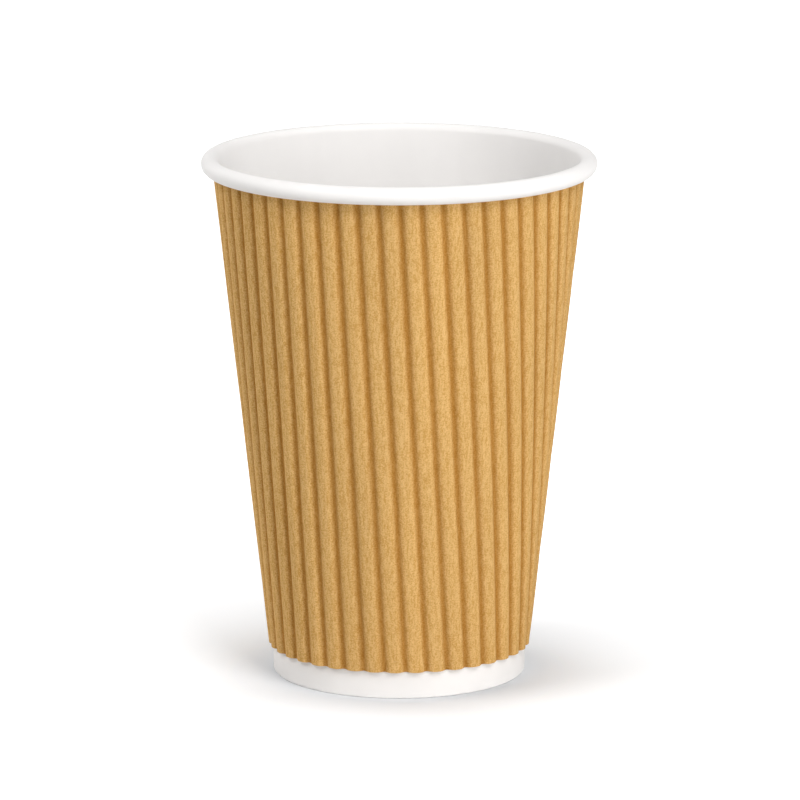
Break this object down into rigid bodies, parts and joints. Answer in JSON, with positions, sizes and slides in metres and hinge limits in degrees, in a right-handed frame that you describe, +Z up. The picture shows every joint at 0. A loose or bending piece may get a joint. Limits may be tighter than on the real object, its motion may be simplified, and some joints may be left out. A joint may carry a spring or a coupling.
{
  "type": "paper coffee cup",
  "caption": "Tapered paper hot-drink cup with a rolled white rim, a white foot band and a kraft corrugated wrap.",
  "frame": {"origin": "centre of the foot ring, on the surface that the cup stands on", "axes": "+Z up the cup's axis to the rim; -Y is the front, the side that the picture shows; +X is to its right"},
  "size_m": [0.09, 0.09, 0.12],
  "materials": {
    "coated_board": "satin",
    "disc_board": "satin",
    "kraft_paper": "matte"
  },
  "bodies": {
    "root": {"cup_wall": "coated_board", "base_disc": "disc_board", "ripple_sleeve": "kraft_paper"}
  },
  "joints": []
}
